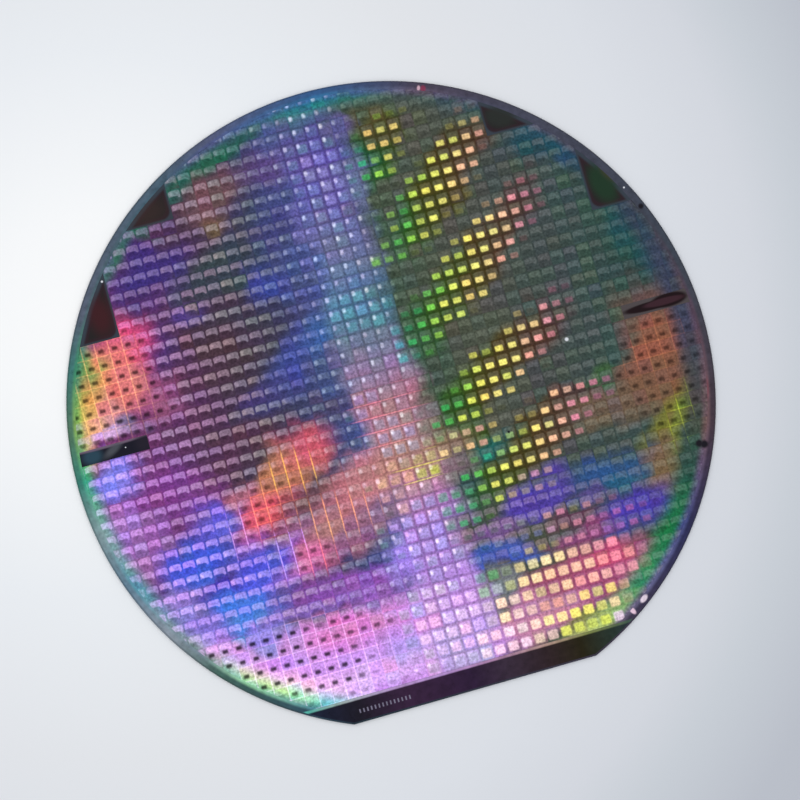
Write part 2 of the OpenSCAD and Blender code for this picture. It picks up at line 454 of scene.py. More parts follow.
# The same for the ring's outer side and the ground edge, with a painted highlight from -170 to
# -149 degrees
OUTER_TURN = [
    (-180, "#387c70"), (-170, "#788e94"), (-160, "#5c788c"), (-149, "#848f9c"), (-138, "#406058"),
    (-119, "#2c4658"), (-112, "#1c3440"), (-64, "#40384a"), (-40, "#2a2c50"), (-20, "#42343e"),
    (12, "#3b424e"), (50, "#424454"), (70, "#463f50"), (89, "#325684"), (110, "#525876"),
    (121, "#465a6a"), (150, "#545c6e"), (160, "#3a706c"), (171, "#50745c"), (180, "#387c70"),
]

# Small pale and dark red spots on the film-free ring
RING_SPOTS = [
    (42.9, -59.8, 1.4, 0.8, 36, 0.5, 0.9, "#e8d8e8"),
    (39.6, -61.7, 0.7, 1.3, 30, 0.5, 0.8, "#e8c8dc"),
    (26.4, 68.6, 0.9, 1.1, -20, 0.4, 0.8, "#84304c"),
    (25.4, 69.0, 0.5, 0.9, -20, 0.4, 0.8, "#d8b0c0"),
    (70.8, -17, 0.9, 4, -14, 0.2, 0.7, "#7c4450"),
]

# The film's last stretch below its lowest dies: its width, and its colour from left to right
FILM_END = 0.6
FILM_END_ACROSS = [
    (-38, "#50a89c"), (-30, "#98a8a8"), (-18, "#ac8cc0"), (-5, "#ac88c4"), (8, "#a47c9c"),
    (18, "#ac8c84"), (28, "#788048"), (38, "#40584c"),
]

# The dark strip between the film and the flat, from left to right
FLAT_STRIP_ACROSS = [
    (-45, "#1c2438"), (-35, "#181c30"), (-27, "#1a1824"), (-15, "#34203a"), (0, "#2a1a34"),
    (8, "#342838"), (18, "#2c2024"), (26, "#242010"), (34, "#24322c"), (45, "#283044"),
]
# Half the width in which two colours of the strip blend
STRIP_SOFT = 0.2
# Plain ticks etched beside the flat
TICKS_FROM = -26.8
TICKS_TO = -14.2
TICKS_Y = -66.7
TICK_PITCH = 0.9
TICK_W = 0.34
TICK_H = 0.9
TICK_SOFT = 0.05
TICK_COLOUR = "#8c88a0"
TICK_STRENGTH = 0.6

# Bare silicon along a clear area's border, and how far in its darker colours start
WINDOW_COLOUR = "#343c46"
WINDOW_INNER = ((0.4, "#2c2026"), (1.1, "#242122"))
WINDOW_CORNER = 2.0
WINDOW_SOFT = 0.3
# Distances from the centre where they are full and where they end, less how far in they start
WINDOW_FULL = 72.2
WINDOW_END = 72.9
# Faint colours in the clear areas, with the long mark in the right-hand clear row
WINDOW_PATCHES = [
    (61, 36, 4, 7, 12, 0.4, 0.9, "#1e3626"),
    (63, 38, 2, 4, 30, 0.2, 0.7, "#3c3a26"),
    (42, 57.5, 5, 3.5, -20, 0.4, 0.9, "#282c2a"),
    (48, 58, 4, 3, -20, 0.2, 0.7, "#3c3038"),
    (-60, 36, 4, 7, 0, 0.2, 0.8, "#401c22"),
    (-44, 57, 8, 5, 0, 0.2, 0.5, "#3c2c2a"),
    (65, 5.2, 16, 5, 0, 0.6, 1.0, "#4a4446"),
    (64.4, 5.0, 8.6, 1.2, 0, 0.7, 1.0, "#1c1014"),
    (68.2, 5.3, 5.2, 1.9, 0, 0.7, 1.0, "#1c1014"),
    (67.0, 5.2, 6.0, 1.0, 0, 0.6, 1.0, "#38222a"),
    (-66, 5.2, 16, 5, 0, 0.6, 1.0, "#181824"),
    (-70, 5.2, 3.4, 2.6, 0, 0.3, 0.8, "#2c4858"),
    (-66, 7.0, 13, 0.9, 0, 0.5, 0.9, "#6c5c70"),
    (-65, 5.6, 4, 1.4, 30, 0.2, 0.8, "#4c5058"),
    (-58, 5.2, 3, 3, 0, 0.2, 0.8, "#24202c"),
]

# Pale and dark specks of dust on the wafer: (x, y, half size)
PALE_SPECKS = [(42.5, 2.6, 0.6), (65.6, 33.6, 0.3), (-57.6, 43.8, 0.35), (-62.2, 5.3, 0.2)]
DARK_SPECKS = [(66.6, -29.4, 1.3), (65.5, -28.9, 1.2), (68.2, 28.3, 0.9), (23.5, -14.6, 0.4)]
DUST = ((PALE_SPECKS, "#d4d8e0"), (DARK_SPECKS, "#1a1820"))
DUST_CORE = 0.4

# How far the fields of colour stray from their ovals, and over what length
WANDER = 14.0
WANDER_LENGTH = 16.67
# How far they step from die to die, and how far the bands and the bright cells do
FIELD_STEP = 1.8
CELL_STEP = 2.6
# Distances from the centre where the rim's own colours start and where they are full, and how
# far they cover the film's
RIM_INNER = 67.5
RIM_OUTER = 72.0
RIM_COVER = 0.92
# Where the film takes on the colours of the ring, and the ring those of its outer side
RING_INNER = 71.0
RING_OUTER = 73.0
OUTER_FROM = 73.1
OUTER_FULL = 74.0
# The rim colours are widest at the lower right: their rings lie round this place
RIM_CENTRE = (-1.7, 1.0, 0)
# How far the oxide's colours, with their painted highlight at the lower left, cover the ground
# edge
EDGE_OXIDE_AND_HIGHLIGHT = 0.75

# Pale card under the wafer: brightest at one place, darker with the distance from it
FLOOR_BRIGHT = (-60, 35, 0)
FLOOR_AWAY = [
    (0, "#fdfeff"), (25, "#f9fbfd"), (64, "#ebeff4"), (100, "#e3e6eb"), (130, "#dde1e8"),
    (152, "#d5d9e1"), (165, "#cad0d8"), (185, "#bcc1cb"), (260, "#b2b7c2"),
]

# ---- Small helpers ----


def linear(hex_colour):
    """An sRGB hex colour as linear RGBA."""
    values = [int(hex_colour[i:i + 2], 16) / 255 for i in (1, 3, 5)]
    return tuple(v / 12.92 if v <= 0.04045 else ((v + 0.055) / 1.055) ** 2.4 for v in values) + (1.0,)


# ---- The wafer ----

# Material slots of the wafer's faces
FILM, WINDOW, RING, GROUND_EDGE, BACK = range(5)


def bevelled_disc(bm):
    """The bare disc with its ground edge. Returns its front face."""
    bmesh.ops.create_circle(bm, cap_ends=True, radius=WAFER_R, segments=RIM_STEPS)
    whole = bm.verts[:] + bm.edges[:] + bm.faces[:]
    bmesh.ops.bisect_plane(bm, geom=whole, dist=CUT_SNAP, plane_co=(0, -FLAT_Y, 0),
                           plane_no=(0, -1, 0), clear_outer=True)
    bottom = next(iter(bm.faces))
    bottom.normal_update()
    if bottom.normal.z > 0:
        bottom.normal_flip()
    bmesh.ops.translate(bm, vec=(0, 0, BEVEL_DROP), verts=bm.verts)
    raised = bmesh.ops.extrude_face_region(bm, geom=[bottom], use_keep_orig=True)
    top = next(item for item in raised["geom"] if isinstance(item, bmesh.types.BMFace))
    bmesh.ops.translate(bm, vec=(0, 0, WAFER_T - 2 * BEVEL_DROP), verts=top.verts)
    bmesh.ops.recalc_face_normals(bm, faces=bm.faces)
    shoulders = list(bottom.edges) + list(top.edges)
    for face in (bottom, top):
        bmesh.ops.inset_region(bm, faces=[face], thickness=BEVEL_W, depth=BEVEL_DROP,
                               use_even_offset=True)
    bmesh.ops.bevel(bm, geom=shoulders, offset=SHOULDER, offset_type="OFFSET",
                    segments=NOSE_STEPS, profile=0.5, affect="EDGES", material=-1)
    for face in bm.faces:
        face.material_index = GROUND_EDGE
    bottom.material_index = BACK
    top.material_index = RING
    return top


def is_clear(x, y):
    """Whether a die site was left without film, in the corner fields and the side rows."""
    x = abs(x)
    field = (math.floor(x / FIELD_W), math.floor((y - GRID_Y) / FIELD_H))
    in_side_row = x > ROW_GAP_COLS * FIELD_W and GRID_Y - DIE_Y < y < GRID_Y
    return field in (SIDE_FIELD, TOP_FIELD) or in_side_row


def cut_faces(bm, faces, co, no):
    """Cuts faces along a plane and returns the faces on both sides of it."""
    edges = {edge for face in faces for edge in face.edges}
    verts = {vert for face in faces for vert in face.verts}
    cut = bmesh.ops.bisect_plane(bm, geom=list(verts) + list(edges) + faces, dist=CUT_SNAP,
                                 plane_co=co, plane_no=no)
    return [item for item in cut["geom"] if isinstance(item, bmesh.types.BMFace)]


def printed_film(bm, front):
    """The device film on the disc's front face, with its dies between sunken streets."""
    ring = bmesh.ops.inset_region(bm, faces=[front], thickness=RING_W - BEVEL_W,
                                  use_even_offset=True)["faces"]
    sites = cut_faces(bm, [front], (0, FILM_BOTTOM, 0), (0, 1, 0))
    flat_strip = [face for face in sites if face.calc_center_median().y < FILM_BOTTOM]
    sites = [face for face in sites if face.calc_center_median().y > FILM_BOTTOM]
    for face in ring + flat_strip:
        face.material_index = RING
    columns = int(FILM_R / DIE_X)
    rows_above = int((FILM_R - GRID_Y) / DIE_Y)
    for column in range(-columns, columns + 1):
        sites = cut_faces(bm, sites, (column * DIE_X, 0, 0), (1, 0, 0))
    for row in range(1 - FIELD_ROWS_BELOW * FIELD_ROWS, rows_above + 1):
        sites = cut_faces(bm, sites, (0, GRID_Y + row * DIE_Y, 0), (0, 1, 0))
    windows = [face for face in sites if is_clear(*face.calc_center_bounds().xy)]
    printed = [face for face in sites if not is_clear(*face.calc_center_bounds().xy)]
    for face in windows:
        face.material_index = WINDOW
    for face in printed:
        face.material_index = FILM
    walls = bmesh.ops.inset_region(bm, faces=printed, thickness=WALL_W,
                                   depth=FILM_T - STREET_DEPTH, use_even_offset=True)["faces"]
    dies = [face for face in printed if face.calc_area() > SMALLEST_DIE]
    bmesh.ops.inset_individual(bm, faces=dies, thickness=STREET_W / 2 - WALL_W,
                               use_even_offset=True)
    bmesh.ops.inset_individual(bm, faces=dies, thickness=WALL_W, depth=STREET_DEPTH,
                               use_even_offset=True)
    for face in walls:
        face.material_index = FILM


def unrolled(bm):
    """A map of the wafer seen from above, its edge unrolled outwards and its back in a corner."""
    layer = bm.loops.layers.uv.new("OFBake")
    span = 2 * (WAFER_R + UNROLL * WAFER_T)
    for face in bm.faces:
        for loop in face.loops:
            x, y, z = loop.vert.co
            if face.material_index == BACK:
                loop[layer].uv = Vector((BACK_SCALE * x, BACK_SCALE * y)) / span + BACK_CORNER
            else:
                push = 1 + UNROLL * max(WAFER_T - z, 0) / math.hypot(x, y)
                loop[layer].uv = Vector((push * x, push * y)) / span + Vector((0.5, 0.5))


# ---- Building materials from nodes ----

# Sockets go by number where a node has several of one name. A Mix has its share at 0, its
# values at 2 and 3 and its colours at 6 and 7. A Map Range has its value at 0, its range at 1
# and 2, and what that becomes at 3 and 4. Either range is 0 to 1 where it isn't set.

# Settings of a node that mixes colours, and of one that goes smoothly from low to high. The
# smooth step ends by itself, and without the node's own clamp a large shader needs less memory
COLOURS = {"out": 2, "data_type": "RGBA"}
SMOOTH = {"interpolation_type": "SMOOTHSTEP", "clamp": False}


def add(tree, kind, sockets=None, out=0, **settings):
    """Adds a node and returns one of its outputs. Each socket is set to a value or linked."""
    node = tree.nodes.new("ShaderNode" + kind)
    for name, value in settings.items():
        setattr(node, name, value)
    for key, value in (sockets or {}).items():
        if isinstance(value, bpy.types.NodeSocket):
            tree.links.new(value, node.inputs[key])
        else:
            node.inputs[key].default_value = value
    return node.outputs[out]


def new_material(name):
    """An empty node material and its node tree."""
    material = bpy.data.materials.new(name)
    material.use_nodes = True
    material.node_tree.nodes.clear()
    return material, material.node_tree


def finish_material(tree, sockets):
    """Sends a principled shader with these sockets to the material's surface."""
    output = tree.nodes.new("ShaderNodeOutputMaterial")
    tree.links.new(add(tree, "BsdfPrincipled", sockets), output.inputs["Surface"])


def millimetres(tree):
    """The place on the wafer in millimetres."""
    place = add(tree, "TexCoord", out="Object")
    return add(tree, "VectorMath", {0: place, 1: (1000, 1000, 1000)}, operation="MULTIPLY")


def wandering(tree, place):
    """The place shifted a little by slow noise, so that no field of colour has a ruled edge."""
    drift = {"Vector": place, "Scale": 1 / WANDER_LENGTH, "Detail": 3.0}
    drift = add(tree, "TexNoise", drift, out="Color")
    drift = add(tree, "VectorMath", {0: drift, 1: (0.5, 0.5, 0.5)}, operation="SUBTRACT")
    drift = add(tree, "VectorMath", {0: drift, "Scale": WANDER}, operation="SCALE")
    return add(tree, "VectorMath", {0: place, 1: drift}, operation="ADD")


def colour_along(tree, value, stops):
    """A colour ramp with stops in the value's own units. Past its ends it keeps their colours."""
    first, last = stops[0][0], stops[-1][0]
    share = add(tree, "MapRange", {0: value, 1: first, 2: last}, clamp=False)
    colour = add(tree, "ValToRGB", {0: share})
    ramp = colour.node.color_ramp
    while len(ramp.elements) < len(stops):
        ramp.elements.new(1.0)
    for element, (at, hex_colour) in zip(ramp.elements, stops):
        element.position = (at - first) / (last - first)
        element.color = linear(hex_colour)
    return colour


def in_all(tree, *shares):
    """How far a place lies in every one of several regions."""
    result = shares[0]
    for share in shares[1:]:
        result = add(tree, "Math", {0: result, 1: share}, operation="MULTIPLY")
    return result


def oval(tree, place, x, y, half_w, half_h, turn, core, strength=1.0):
    """A soft oval: full strength in its core, nothing at its edge."""
    sockets = {0: place, 1: (x, y, 0), 2: (0, 0, math.radians(turn)), 3: (half_w, half_h, 1000)}
    own = add(tree, "Mapping", sockets, vector_type="TEXTURE")
    ball = add(tree, "TexGradient", {0: own}, out=1, gradient_type="SPHERICAL")
    return add(tree, "MapRange", {0: ball, 2: 1.0 - core, 4: strength}, **SMOOTH)


def painted(tree, place, base, ovals):
    """Soft ovals of colour over a base."""
    for *shape, hex_colour in ovals:
        share = oval(tree, place, *shape)
        base = add(tree, "Mix", {0: share, 6: base, 7: linear(hex_colour)}, **COLOURS)
    return base


def dusty(tree, place, base):
    """Small round specks of dust over a base."""
    for spots, hex_colour in DUST:
        cover = 0.0
        for x, y, half in spots:
            share = oval(tree, place, x, y, half, half, 0, DUST_CORE)
            cover = add(tree, "Math", {0: cover, 1: share}, operation="MAXIMUM")
        base = add(tree, "Mix", {0: cover, 6: base, 7: linear(hex_colour)}, **COLOURS)
    return base


def rounded_box(tree, place, left, right, low, high, corner, soft):
    """A rounded rectangle with a soft edge, in the place's own units."""
    centre = ((left + right) / 2, (low + high) / 2, 0)
    reach = ((right - left) / 2 - corner, (high - low) / 2 - corner, 1e6)
    offset = add(tree, "VectorMath", {0: place, 1: centre}, operation="SUBTRACT")
    offset = add(tree, "VectorMath", {0: offset}, operation="ABSOLUTE")
    offset = add(tree, "VectorMath", {0: offset, 1: reach}, operation="SUBTRACT")
    offset = add(tree, "VectorMath", {0: offset, 1: (0, 0, 0)}, operation="MAXIMUM")
    away = add(tree, "VectorMath", {0: offset}, out="Value", operation="LENGTH")
    return add(tree, "MapRange", {0: away, 1: corner + soft, 2: corner - soft}, **SMOOTH)


def own_step(tree, chances, reach):
    """A step of its own for each die, half the reach to every side at most."""
    step = {0: chances, 1: (reach, reach, 0), 2: (-reach / 2, -reach / 2, 0)}
    return add(tree, "VectorMath", step, operation="MULTIPLY_ADD")


def direction(tree, across):
    """The direction of a place from the wafer's centre, in degrees from +X."""
    turn = add(tree, "Math", {0: across.node.outputs[1], 1: across}, operation="ARCTAN2")
    return add(tree, "Math", {0: turn}, operation="DEGREES")


# ---- Materials of the wafer ----


def slanting_bands(tree, place):
    """How far a place lies in the slanting bands, and its height in its band from -1 to 1."""
    cover = 0.0
    height = 0.0
    for x, y, half_w, half_h, turn, core, strength in BANDS:
        share = oval(tree, place, x, y, half_w, half_h, turn, core, strength)
        upright = Vector((-math.sin(math.radians(turn)), math.cos(math.radians(turn)), 0)) / half_h
        own = {0: place, 1: upright}
        own = add(tree, "VectorMath", own, out="Value", operation="DOT_PRODUCT")
        own = add(tree, "Math", {0: own, 1: upright.dot((x, y, 0))}, operation="SUBTRACT")
        height = add(tree, "Mix", {0: share, 2: height, 3: own})
        cover = add(tree, "Math", {0: cover, 1: share}, operation="MAXIMUM")
    return cover, height


def film_ground(tree, place, field_place):
    """Colour of the film between its dies' painted highlights, and how far a place lies in the
    middle columns and in the slanting bands, where light is painted in."""
    across = add(tree, "SeparateXYZ", {0: place})
    field_across = add(tree, "SeparateXYZ", {0: field_place})
    ground = colour_along(tree, field_across, GROUND_ACROSS)
    band, _ = slanting_bands(tree, field_place)
    tone = colour_along(tree, field_across, BAND_GROUND_ACROSS)
    ground = add(tree, "Mix", {0: band, 6: ground, 7: tone}, **COLOURS)
    ground = painted(tree, field_place, ground, GROUND_PATCHES)
    # The middle columns, lighter with a broad band of painted light
    leaning = {0: field_place, 1: (1, COLUMN_LEAN, 0)}
    leaning = add(tree, "VectorMath", leaning, out="Value", operation="DOT_PRODUCT")
    column = in_all(
        tree,
        add(tree, "MapRange", {0: leaning, 1: COLUMN_LEFT, 2: COLUMN_LEFT_FULL}, **SMOOTH),
        add(tree, "MapRange", {0: leaning, 1: COLUMN_RIGHT, 2: COLUMN_RIGHT_FULL}, **SMOOTH))
    tone = colour_along(tree, field_across.node.outputs[1], COLUMN_UPWARDS)
    ground = add(tree, "Mix", {0: column, 6: ground, 7: tone}, **COLOURS)
    # Towards the rim the film thins, and its colour turns with the direction
    turn = direction(tree, across)
    radius = {0: place, 1: RIM_CENTRE}
    radius = add(tree, "VectorMath", radius, out="Value", operation="DISTANCE")
    rim = colour_along(tree, turn, RIM_TURN)
    edge = {0: radius, 1: RIM_INNER, 2: RIM_OUTER, 4: RIM_COVER}
    edge = add(tree, "MapRange", edge, **SMOOTH)
    ground = add(tree, "Mix", {0: edge, 6: ground, 7: rim}, **COLOURS)
    inner = add(tree, "MapRange", {0: radius, 1: COLUMN_OUTER, 2: COLUMN_INNER}, **SMOOTH)
    radius = add(tree, "VectorMath", {0: place}, out="Value", operation="LENGTH")
    ring = colour_along(tree, turn, RING_TURN)
    edge = add(tree, "MapRange", {0: radius, 1: RING_INNER, 2: RING_OUTER}, **SMOOTH)
    ground = add(tree, "Mix", {0: edge, 6: ground, 7: ring}, **COLOURS)
    return ground, in_all(tree, column, inner), band


def device_film():
    """Device film: oxide and metal lines on polished silicon. It mirrors with a soft blur, and
    interference and the fine lines' diffraction give it its colours, partly painted in as
    diffraction light, with painted highlights and glints on its dies."""
    material, tree = new_material("device_film")
    place = millimetres(tree)
    field_place = wandering(tree, place)
    across = add(tree, "SeparateXYZ", {0: place})
    upwards = across.node.outputs[1]

    # Where in its die a place lies, and which die that is
    grid = add(tree, "VectorMath", {0: place, 1: (0, GRID_Y, 0)}, operation="SUBTRACT")
    grid = add(tree, "VectorMath", {0: grid, 1: (DIE_X, DIE_Y, 1000)}, operation="DIVIDE")
    die = add(tree, "VectorMath", {0: grid}, operation="FRACTION")
    site = add(tree, "VectorMath", {0: grid}, operation="FLOOR")
    chances = add(tree, "TexWhiteNoise", {0: site}, out="Color", noise_dimensions="3D")
    chance = add(tree, "SeparateXYZ", {0: chances})
    other_chance = chance.node.outputs[1]
    centre = {0: site, 1: (DIE_X, DIE_Y, 0), 2: (DIE_X / 2, GRID_Y + DIE_Y / 2, 0)}
    centre = add(tree, "VectorMath", centre, operation="MULTIPLY_ADD")

    # Each die takes its part of the bands and the fields of colour from a place a little aside
    step = own_step(tree, chances, CELL_STEP)
    centre = add(tree, "VectorMath", {0: centre, 1: step}, operation="ADD")
    step = own_step(tree, chances, FIELD_STEP)
    field_place = add(tree, "VectorMath", {0: field_place, 1: step}, operation="ADD")

    ground, column, soft_band = film_ground(tree, place, field_place)
    band, height = slanting_bands(tree, centre)
    low = add(tree, "MapRange", {0: upwards, 1: WIDE_FROM, 2: WIDE_FULL}, **SMOOTH)

    # The upper part of a die: cut at its top left, hollowed from below by the well, and lighter
    # by a painted highlight
    well = rounded_box(tree, die, *WELL)
    slope = {0: die, 1: (-HEAD_CUT_SLOPE, 1, 0)}
    slope = add(tree, "VectorMath", slope, out="Value", operation="DOT_PRODUCT")
    head = in_all(
        tree,
        rounded_box(tree, die, *HEAD),
        add(tree, "Math", {0: 1.0, 1: well}, operation="SUBTRACT"),
        add(tree, "MapRange", {0: slope, 1: HEAD_GONE, 2: HEAD_FULL}, **SMOOTH))
    highlight = colour_along(tree, across, HEAD_HIGHLIGHT_ACROSS)
    highlight = painted(tree, field_place, highlight, HEAD_HIGHLIGHT_PATCHES)
    colour = add(tree, "Mix", {0: head, 6: ground, 7: highlight}, blend_type="ADD", **COLOURS)

    # The mark at its centre is darker than the ground
    shade = MARK_SHADE
    for *shape, depth in MARK_SHADE_PATCHES:
        share = oval(tree, field_place, *shape)
        shade = add(tree, "Mix", {0: share, 2: shade, 3: depth})
    shade = in_all(
        tree,
        shade,
        rounded_box(tree, die, *MARK),
        add(tree, "Math", {0: 1.0, 1: column}, operation="SUBTRACT"),
        add(tree, "Math", {0: 1.0, 1: band}, operation="SUBTRACT"))
    colour = add(tree, "Mix", {0: shade, 6: colour, 7: linear(MARK_COLOUR)}, **COLOURS)

    # The bright cells: painted diffraction light
    ahead = add(tree, "Math", {0: height, 1: -BAND_TILT}, operation="MULTIPLY")
    own_across = add(tree, "SeparateXYZ", {0: centre})
    own_across = add(tree, "Math", {0: own_across, 1: ahead}, operation="ADD")
    glow = colour_along(tree, own_across, CELL_GLOW_ACROSS)
    cover = band
    for *shape, strength, hex_colour in CELL_GLOW_PATCHES:
        share = oval(tree, centre, *shape)
        glow = add(tree, "Mix", {0: share, 6: glow, 7: linear(hex_colour)}, **COLOURS)
        share = in_all(tree, share, strength)
        cover = add(tree, "Math", {0: cover, 1: share}, operation="MAXIMUM")
    uneven = add(tree, "MapRange", {0: chance, 3: CELL_LIGHT[0], 4: CELL_LIGHT[1]})
    cell = rounded_box(tree, die, *CELL)
    wide_cell = rounded_box(tree, die, *WIDE_CELL)
    wide = add(tree, "Math", {0: low, 1: column}, operation="MAXIMUM")
    lit_cell = add(tree, "Mix", {0: wide, 2: cell, 3: wide_cell})
    cover = in_all(tree, cover, uneven, lit_cell)
    cover = add(tree, "Math", {0: cover, 1: 1.0}, operation="MINIMUM")
    colour = add(tree, "Mix", {0: cover, 6: colour, 7: glow}, **COLOURS)

    # A small painted glint at the upper left
    highlight = colour_along(tree, across, GLINT_SPOT_ACROSS)
    highlight = painted(tree, field_place, highlight, GLINT_SPOT_PATCHES)
    glint = add(tree, "MapRange", {0: other_chance, 3: GLINT_SPOT_LIGHT[0], 4: GLINT_SPOT_LIGHT[1]})
    glint_spot = in_all(tree, rounded_box(tree, die, *GLINT_SPOT), glint)
    highlight = add(tree, "VectorMath", {0: highlight, "Scale": glint_spot}, operation="SCALE")
    colour = add(tree, "Mix", {0: 1.0, 6: colour, 7: highlight}, blend_type="ADD", **COLOURS)

    # The streets between the dies: dark in the bands and the middle, fine bright lines elsewhere
    dark = add(tree, "Math", {0: soft_band, 1: column}, operation="MAXIMUM")
    shade = add(tree, "MapRange", {0: dark, 3: STREET_SHADE, 4: DARK_STREET_SHADE})
    street = add(tree, "VectorMath", {0: ground, "Scale": shade}, operation="SCALE")
    inside = rounded_box(tree, die, *DIE_FACE)
    small_inside = rounded_box(tree, die, *SMALL_DIE_FACE)
    inside = add(tree, "Mix", {0: dark, 2: inside, 3: small_inside})
    colour = add(tree, "Mix", {0: inside, 6: street, 7: colour}, **COLOURS)
    for axis, patches in ((0, UPRIGHT_LINE_PATCHES), (1, LEVEL_LINE_PATCHES)):
        from_middle = add(tree, "SeparateXYZ", {0: die}, out=axis)
        from_middle = add(tree, "Math", {0: from_middle, 1: 0.5}, operation="SUBTRACT")
        from_middle = add(tree, "Math", {0: from_middle}, operation="ABSOLUTE")
        line = add(tree, "MapRange", {0: from_middle, 1: LINE_FROM, 2: LINE_FULL}, **SMOOTH)
        light = painted(tree, field_place, linear("#000000"), patches)
        light = add(tree, "VectorMath", {0: light, "Scale": line}, operation="SCALE")
        light = {0: LINE_LIGHT, 6: colour, 7: light}
        colour = add(tree, "Mix", light, blend_type="ADD", **COLOURS)

    # No two dies reflect quite alike, and their fine lines glint unevenly
    tint = {0: chances, 1: (DIE_LIGHT_MORE,) * 3, 2: (DIE_LIGHT,) * 3}
    tint = add(tree, "VectorMath", tint, operation="MULTIPLY_ADD")
    colour = add(tree, "Mix", {0: 1.0, 6: colour, 7: tint}, blend_type="MULTIPLY", **COLOURS)
    grain = add(tree, "TexNoise", {"Vector": place, "Scale": 1 / GLINT_W, "Detail": 3.0})
    grain = {0: grain, 1: 0.3, 2: 0.7, 3: GLINT_LIGHT[0], 4: GLINT_LIGHT[1]}
    grain = add(tree, "MapRange", grain)
    colour = add(tree, "VectorMath", {0: colour, "Scale": grain}, operation="SCALE")
    colour = dusty(tree, place, colour)

    # The raised parts stand a few micrometres proud, and the lines on them scatter more
    raised = add(tree, "Math", {0: head, 1: cell}, operation="MAXIMUM")
    normal = add(tree, "Bump", {"Height": raised, "Distance": RAISED_M})
    rough = add(tree, "MapRange", {0: raised, 3: 0.30, 4: 0.38})
    film = {"Base Color": colour, "Metallic": 0.9, "Roughness": rough, "Normal": normal}
    finish_material(tree, film)
    return material


def bare_silicon():
    """Etched bare silicon where the film was left out: a dark mirror with faint film remains
    along its edges."""
    material, tree = new_material("bare_silicon")
    place = millimetres(tree)
    field = add(tree, "VectorMath", {0: place}, operation="ABSOLUTE")
    field = add(tree, "VectorMath", {0: field, 1: (0, GRID_Y, 0)}, operation="SUBTRACT")
    field = add(tree, "VectorMath", {0: field, 1: (FIELD_W, FIELD_H, 1)}, operation="DIVIDE")
    field = add(tree, "VectorMath", {0: field}, operation="FRACTION")
    field = add(tree, "VectorMath", {0: field, 1: (FIELD_W, FIELD_H, 1)}, operation="MULTIPLY")
    radius = add(tree, "VectorMath", {0: place}, out="Value", operation="LENGTH")
    colour = linear(WINDOW_COLOUR)
    for border, hex_colour in WINDOW_INNER:
        box = (border, FIELD_W - border, border, FIELD_H - border, WINDOW_CORNER, WINDOW_SOFT)
        box = rounded_box(tree, field, *box)
        inner = {0: radius, 1: WINDOW_END - border, 2: WINDOW_FULL - border}
        inner = add(tree, "MapRange", inner, **SMOOTH)
        share = in_all(tree, box, inner)
        colour = add(tree, "Mix", {0: share, 6: colour, 7: linear(hex_colour)}, **COLOURS)
    colour = painted(tree, place, colour, WINDOW_PATCHES)
    colour = dusty(tree, place, colour)
    # The etchant's haze changes over a few millimetres
    haze = add(tree, "TexNoise", {"Vector": place, "Scale": 1 / 2.5, "Detail": 4.0})
    rough = add(tree, "MapRange", {0: haze, 3: 0.18, 4: 0.32})
    silicon = {"Base Color": colour, "Metallic": 0.9, "Roughness": rough}
    finish_material(tree, silicon)
    return material


def oxide_ring():
    """Oxide left on the film-free ring and along the flat: a dark mirror with oxide colours,
    and a painted highlight at the lower left of its outer side.
    """
    material, tree = new_material("oxide_ring")
    place = millimetres(tree)
    across = add(tree, "SeparateXYZ", {0: place})
    upwards = across.node.outputs[1]
    radius = add(tree, "VectorMath", {0: place}, out="Value", operation="LENGTH")
    turn = direction(tree, across)
    # Oxide colours round the ring and its outer side, with a painted highlight at the lower left
    colour = colour_along(tree, turn, RING_TURN)
    tone = colour_along(tree, turn, OUTER_TURN)
    outer = add(tree, "MapRange", {0: radius, 1: OUTER_FROM, 2: OUTER_FULL}, **SMOOTH)
    colour = add(tree, "Mix", {0: outer, 6: colour, 7: tone}, **COLOURS)
    colour = painted(tree, place, colour, RING_SPOTS)
    for low, stops in ((FILM_BOTTOM, FILM_END_ACROSS), (FILM_BOTTOM - FILM_END, FLAT_STRIP_ACROSS)):
        below = {0: upwards, 1: low + STRIP_SOFT, 2: low - STRIP_SOFT}
        below = add(tree, "MapRange", below, **SMOOTH)
        tone = colour_along(tree, across, stops)
        colour = add(tree, "Mix", {0: below, 6: colour, 7: tone}, **COLOURS)
    # A row of plain ticks
    spot = add(tree, "VectorMath", {0: place, 1: (TICKS_FROM, TICKS_Y, 0)}, operation="SUBTRACT")
    along = add(tree, "SeparateXYZ", {0: spot})
    repeat = add(tree, "Math", {0: along, 1: TICK_PITCH}, operation="FLOORED_MODULO")
    spot = add(tree, "CombineXYZ", {0: repeat, 1: along.node.outputs[1]})
    tick = (0, TICK_W, -TICK_H / 2, TICK_H / 2, TICK_SOFT, TICK_SOFT)
    tick = in_all(
        tree,
        rounded_box(tree, spot, *tick),
        add(tree, "Math", {0: along, 1: 0.0}, operation="GREATER_THAN"),
        add(tree, "Math", {0: along, 1: TICKS_TO - TICKS_FROM}, operation="LESS_THAN"),
        TICK_STRENGTH)
    colour = add(tree, "Mix", {0: tick, 6: colour, 7: linear(TICK_COLOUR)}, **COLOURS)
    colour = dusty(tree, place, colour)
    # The oxide is uneven over about a millimetre
    haze = add(tree, "TexNoise", {"Vector": place, "Scale": 1 / 1.25, "Detail": 4.0})
    tone = add(tree, "MapRange", {0: haze, 1: 0.3, 2: 0.7, 3: 0.8, 4: 1.2})
    colour = add(tree, "VectorMath", {0: colour, "Scale": tone}, operation="SCALE")
    rough = add(tree, "MapRange", {0: haze, 3: 0.22, 4: 0.38})
    ring = {"Base Color": colour, "Metallic": 0.9, "Roughness": rough}
    finish_material(tree, ring)
    return material


